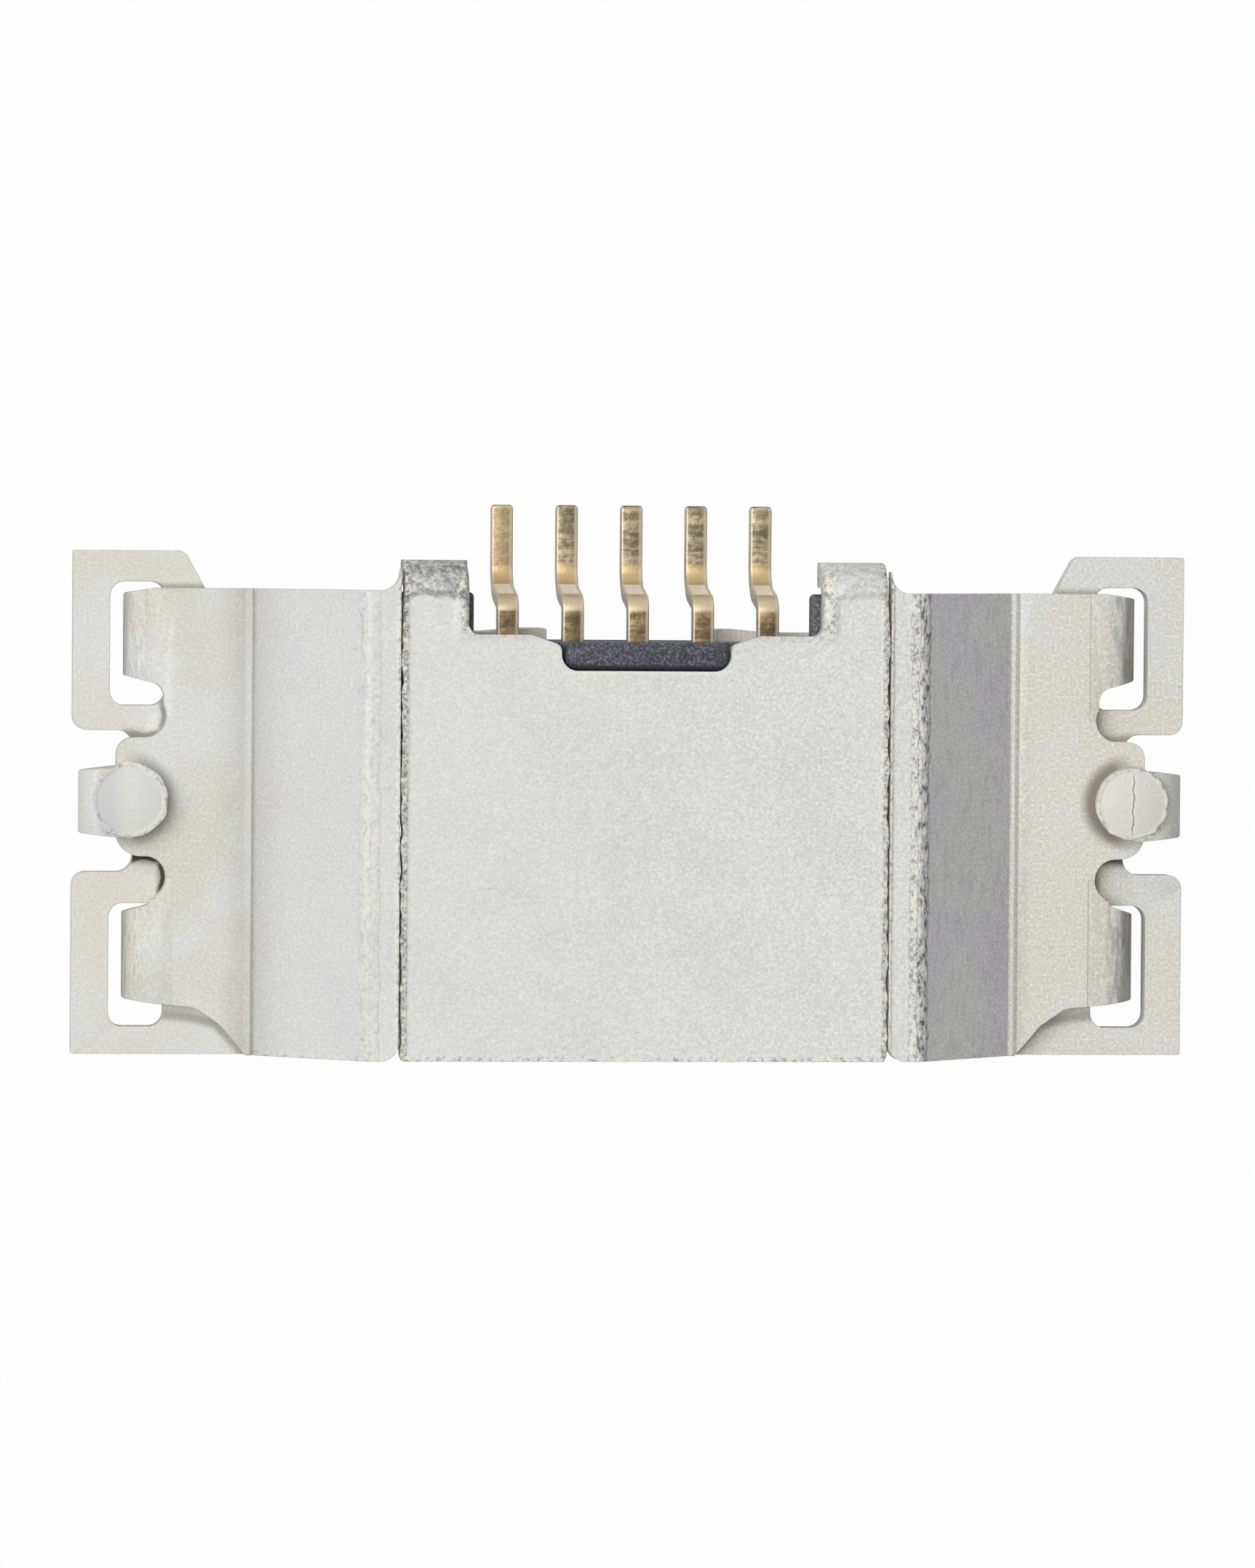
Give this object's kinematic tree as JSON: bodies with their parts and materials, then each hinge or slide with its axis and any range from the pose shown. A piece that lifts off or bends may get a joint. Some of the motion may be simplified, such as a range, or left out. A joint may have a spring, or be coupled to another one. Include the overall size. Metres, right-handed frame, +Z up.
{
  "type": "micro usb socket",
  "caption": "Sunk micro-B socket for a board cut-out: folded plated shell with side frames and pressed button tabs, black insulator with tongue, gold S-bent contact tails.",
  "frame": {"origin": "on the board's surface, below the middle of the mouth's front edge", "axes": "+X across the width, +Y from the mouth to the contact tails, +Z up from the board towards the narrow side of the shell"},
  "size_m": [0.0112, 0.0055, 0.0023],
  "materials": {
    "shell_plating": "matt plated",
    "bracket_plating": "matt plated",
    "plate_plating": "matt plated",
    "insulator_resin": "grainy moulded",
    "contact_gold": "gold plated"
  },
  "bodies": {
    "root": {"lower_shell": "shell_plating", "side_bracket_left": "bracket_plating", "side_bracket_right": "bracket_plating", "centre_plate": "plate_plating", "insulator": "insulator_resin", "contact_1": "contact_gold", "contact_2": "contact_gold", "contact_3": "contact_gold", "contact_4": "contact_gold", "contact_5": "contact_gold"}
  },
  "joints": []
}
